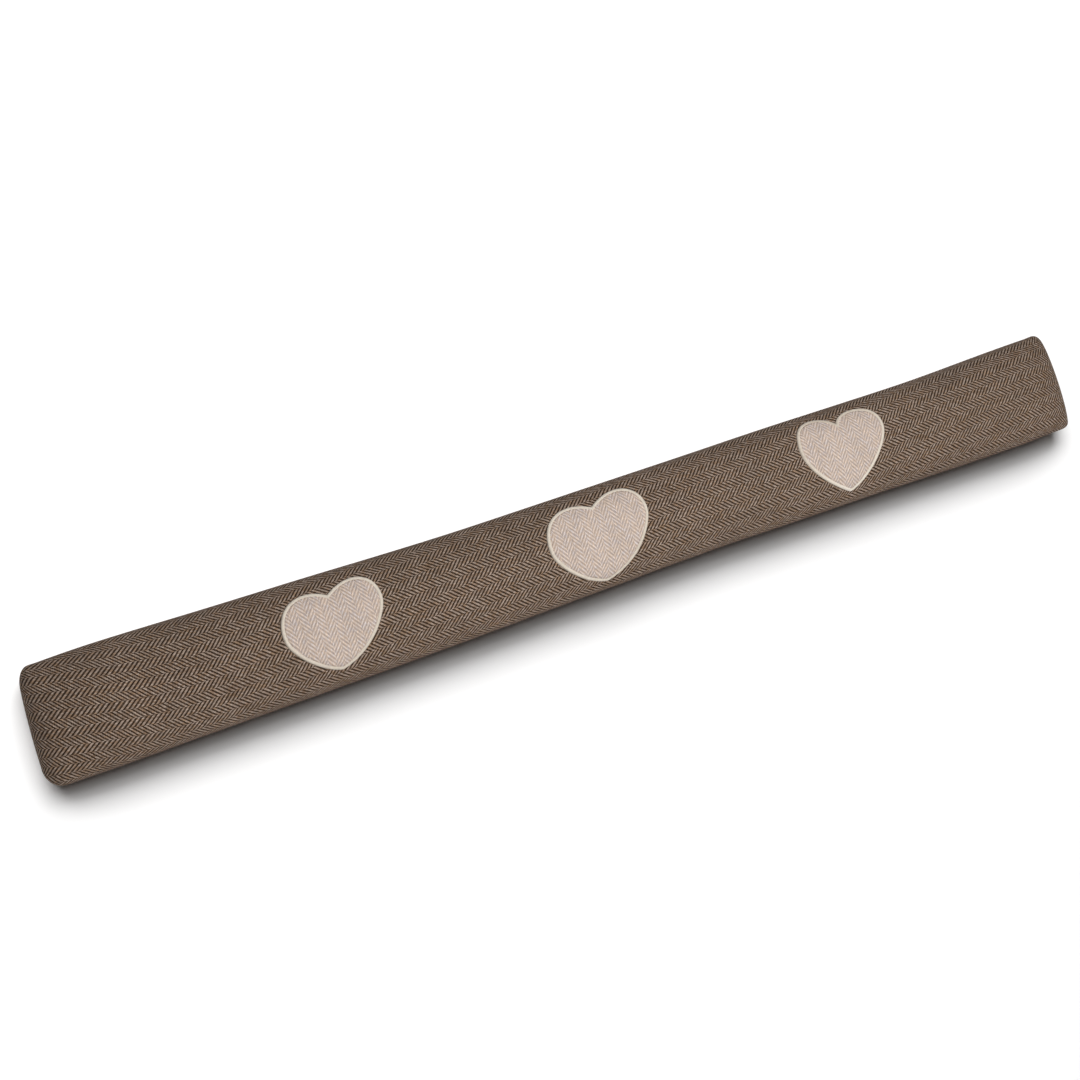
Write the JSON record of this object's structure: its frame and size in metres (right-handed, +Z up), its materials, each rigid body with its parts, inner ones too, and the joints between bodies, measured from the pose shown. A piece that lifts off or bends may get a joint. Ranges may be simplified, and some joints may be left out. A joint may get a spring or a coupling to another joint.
{
  "type": "draught excluder",
  "caption": "Long stuffed door cushion of herringbone tweed with sewn-on hearts edged in satin stitch; lies along a door's foot to stop draughts.",
  "frame": {"origin": "middle of the flat underside, centre of the cushion's box in plan", "axes": "+X along the length towards the right-hand end, +Y towards the side that the hearts' lobes point to, +Z up through the face with the hearts"},
  "size_m": [1.2046, 0.1206, 0.0622],
  "materials": {
    "tweed_brown": "dark brown and beige herringbone weave, matt",
    "tweed_pale": "cream and pinkish beige herringbone weave, matt",
    "thread_ivory": "close satin stitch, soft sheen"
  },
  "bodies": {
    "root": {"cushion": "tweed_brown", "heart_left": "tweed_pale", "heart_middle": "tweed_pale", "heart_right": "tweed_pale", "border_left": "thread_ivory", "border_middle": "thread_ivory", "border_right": "thread_ivory"}
  },
  "joints": []
}
